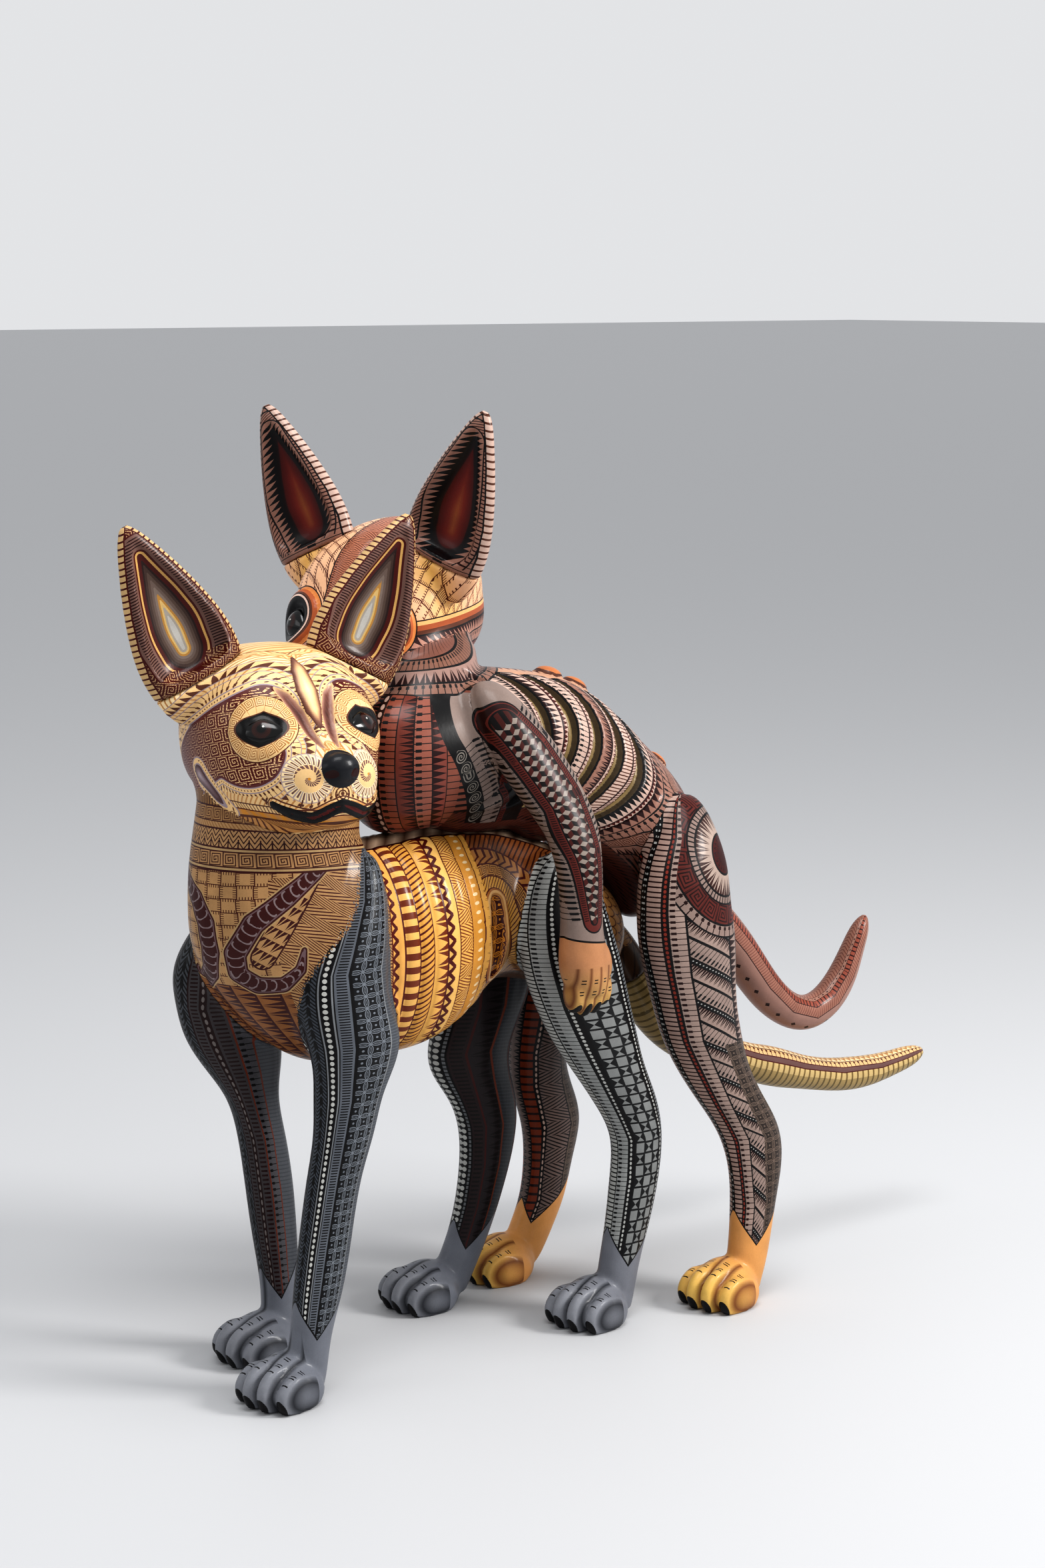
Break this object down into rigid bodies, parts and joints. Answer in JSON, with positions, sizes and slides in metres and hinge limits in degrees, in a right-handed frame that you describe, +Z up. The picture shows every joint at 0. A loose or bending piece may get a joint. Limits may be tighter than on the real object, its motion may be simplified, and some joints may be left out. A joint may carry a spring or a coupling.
{
  "type": "carved painted dog pair figure",
  "caption": "Two carved and painted wooden dogs; the rear one stands on its hind legs holding the front one's hips, with plug-in ears and tails.",
  "frame": {"origin": "middle of the pair's footprint, on the plane that the paws stand on", "axes": "+Z up, -Y the way both bodies face, +X to the dogs' left"},
  "size_m": [0.2925, 0.7818, 0.7046],
  "materials": {
    "front_body_paint": "cream and gold hand-painted patterns under satin varnish",
    "front_ear_paint": "taupe and maroon hand-painted patterns under satin varnish",
    "front_tail_paint": "cream and olive hand-painted bands under satin varnish",
    "front_foreleg_paint": "black and grey hand-painted patterns under satin varnish",
    "front_hindleg_paint": "grey-white and black hand-painted patterns under satin varnish",
    "rear_body_paint": "pink-brown, maroon and black hand-painted patterns under satin varnish",
    "rear_ear_paint": "maroon and pink hand-painted patterns under satin varnish",
    "rear_tail_paint": "copper-pink hand-painted bands under satin varnish",
    "rear_foreleg_paint": "grey-pink, maroon and black hand-painted patterns under satin varnish",
    "rear_hindleg_paint": "grey-brown, maroon and black hand-painted patterns under satin varnish",
    "eye_gloss": "black and brown paint under gloss varnish"
  },
  "bodies": {
    "front": {"front_torso": "front_body_paint", "front_head": "front_body_paint", "front_eye_left": "eye_gloss", "front_eye_right": "eye_gloss", "front_foreleg_left": "front_foreleg_paint", "front_foreleg_right": "front_foreleg_paint", "front_hindleg_left": "front_hindleg_paint", "front_hindleg_right": "front_hindleg_paint"},
    "rear": {"rear_torso": "rear_body_paint", "rear_head": "rear_body_paint", "rear_eye_left": "eye_gloss", "rear_eye_right": "eye_gloss", "rear_foreleg_left": "rear_foreleg_paint", "rear_foreleg_right": "rear_foreleg_paint", "rear_hindleg_left": "rear_hindleg_paint", "rear_hindleg_right": "rear_hindleg_paint"},
    "front_ear_left": {"front_ear_left": "front_ear_paint"},
    "front_ear_right": {"front_ear_right": "front_ear_paint"},
    "front_tail": {"front_tail": "front_tail_paint"},
    "rear_ear_left": {"rear_ear_left": "rear_ear_paint"},
    "rear_ear_right": {"rear_ear_right": "rear_ear_paint"},
    "rear_tail": {"rear_tail": "rear_tail_paint"}
  },
  "joints": [
    {"name": "rear_lift_off", "type": "slide", "parent": "front", "child": "rear", "axis": [0, 0.7071, 0.7071], "range_m": [0, 0.3]},
    {"name": "front_ear_left_pull", "type": "slide", "parent": "front", "child": "front_ear_left", "axis": [0.0264, 0.4447, 0.8953], "range_m": [0, 0.03]},
    {"name": "front_ear_right_pull", "type": "slide", "parent": "front", "child": "front_ear_right", "axis": [-0.1076, -0.4323, 0.8953], "range_m": [0, 0.03]},
    {"name": "front_tail_pull", "type": "slide", "parent": "front", "child": "front_tail", "axis": [0, 0.5547, -0.8321], "range_m": [0, 0.03]},
    {"name": "rear_ear_left_pull", "type": "slide", "parent": "rear", "child": "rear_ear_left", "axis": [0.381, 0.0592, 0.9227], "range_m": [0, 0.03]},
    {"name": "rear_ear_right_pull", "type": "slide", "parent": "rear", "child": "rear_ear_right", "axis": [-0.3531, -0.1549, 0.9227], "range_m": [0, 0.03]},
    {"name": "rear_tail_pull", "type": "slide", "parent": "rear", "child": "rear_tail", "axis": [0, 0.7071, -0.7071], "range_m": [0, 0.03]}
  ]
}
